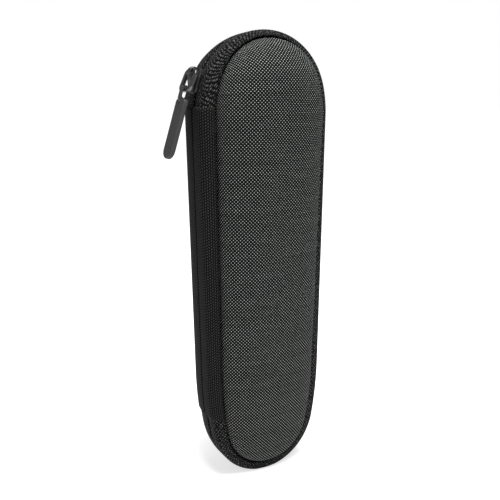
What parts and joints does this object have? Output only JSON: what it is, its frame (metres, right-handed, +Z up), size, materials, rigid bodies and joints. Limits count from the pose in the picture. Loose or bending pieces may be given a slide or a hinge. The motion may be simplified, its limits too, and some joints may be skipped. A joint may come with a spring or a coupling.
{
  "type": "zipped trimmer case",
  "caption": "Slim hard-shell zip case for a hair trimmer: domed woven front, black rim bands, hinge panel, lined foam halves, strap and a hanging slider pull.",
  "frame": {"origin": "middle of the flat foot under the case's lower end, on the plane of the front band's widest line", "axes": "+Z up the case's length from its foot to its round top, -Y out of the domed front, -X towards the hinge panel"},
  "size_m": [0.0757, 0.0406, 0.196],
  "materials": {
    "foam": "matt moulded foam, black",
    "grey_weave": "coarse plain weave in dark grey yarn",
    "black_weave": "plain weave in black yarn",
    "lining_cloth": "black brushed lining",
    "binding_tape": "black ribbed binding",
    "zip_tape": "black zip tape",
    "zip_coil": "black nylon coil",
    "spine_weave": "fine black herringbone weave",
    "strap_elastic": "black knitted elastic",
    "strap_anchor": "black stitched tape",
    "gunmetal": "dark gunmetal plating, semi-gloss",
    "pull_rubber": "dark grey moulded rubber, matt"
  },
  "bodies": {
    "back_half": {"back_shell": "foam", "back_cover": "grey_weave", "back_band": "black_weave", "back_lining": "lining_cloth", "back_binding": "binding_tape", "back_zip_tape": "zip_tape", "back_zip_coil": "zip_coil", "spine_back_leaf": "spine_weave", "zip_stop_upper": "gunmetal", "zip_stop_lower": "gunmetal", "holding_strap": "strap_elastic", "strap_anchor_left": "strap_anchor", "strap_anchor_right": "strap_anchor"},
    "front_half": {"front_shell": "foam", "front_cover": "grey_weave", "front_band": "black_weave", "front_lining": "lining_cloth", "front_binding": "binding_tape", "front_zip_tape": "zip_tape", "front_zip_coil": "zip_coil", "spine_front_leaf": "spine_weave"},
    "slider": {"slider_body": "gunmetal", "slider_cap": "gunmetal", "slider_pawl": "gunmetal"},
    "link": {"pull_link": "gunmetal"},
    "tab": {"pull_tab": "pull_rubber"}
  },
  "joints": [
    {"name": "lid_hinge", "type": "hinge", "parent": "back_half", "child": "front_half", "pos_m": [-0.03203, 0.006, 0.1608], "axis": [0.0224, 0, -0.9998], "range_deg": [0, 165]},
    {"name": "slider_travel", "type": "hinge", "parent": "back_half", "child": "slider", "pos_m": [0, 0.006, 0.16509], "axis": [0, 1, 0], "range_deg": [0, 148.5]},
    {"name": "pull_link", "type": "hinge", "parent": "slider", "child": "link", "pos_m": [-0.03121, 0.006, 0.17913], "axis": [0, 1, 0], "range_deg": [0, 120]},
    {"name": "pull_tab", "type": "hinge", "parent": "link", "child": "tab", "pos_m": [-0.03476, 0.006, 0.17152], "axis": [0, 1, 0], "range_deg": [-14, 60]}
  ],
  "couplings": [
    {"joint": "slider_travel", "follows": "lid_hinge", "ratio": 0.9}
  ]
}
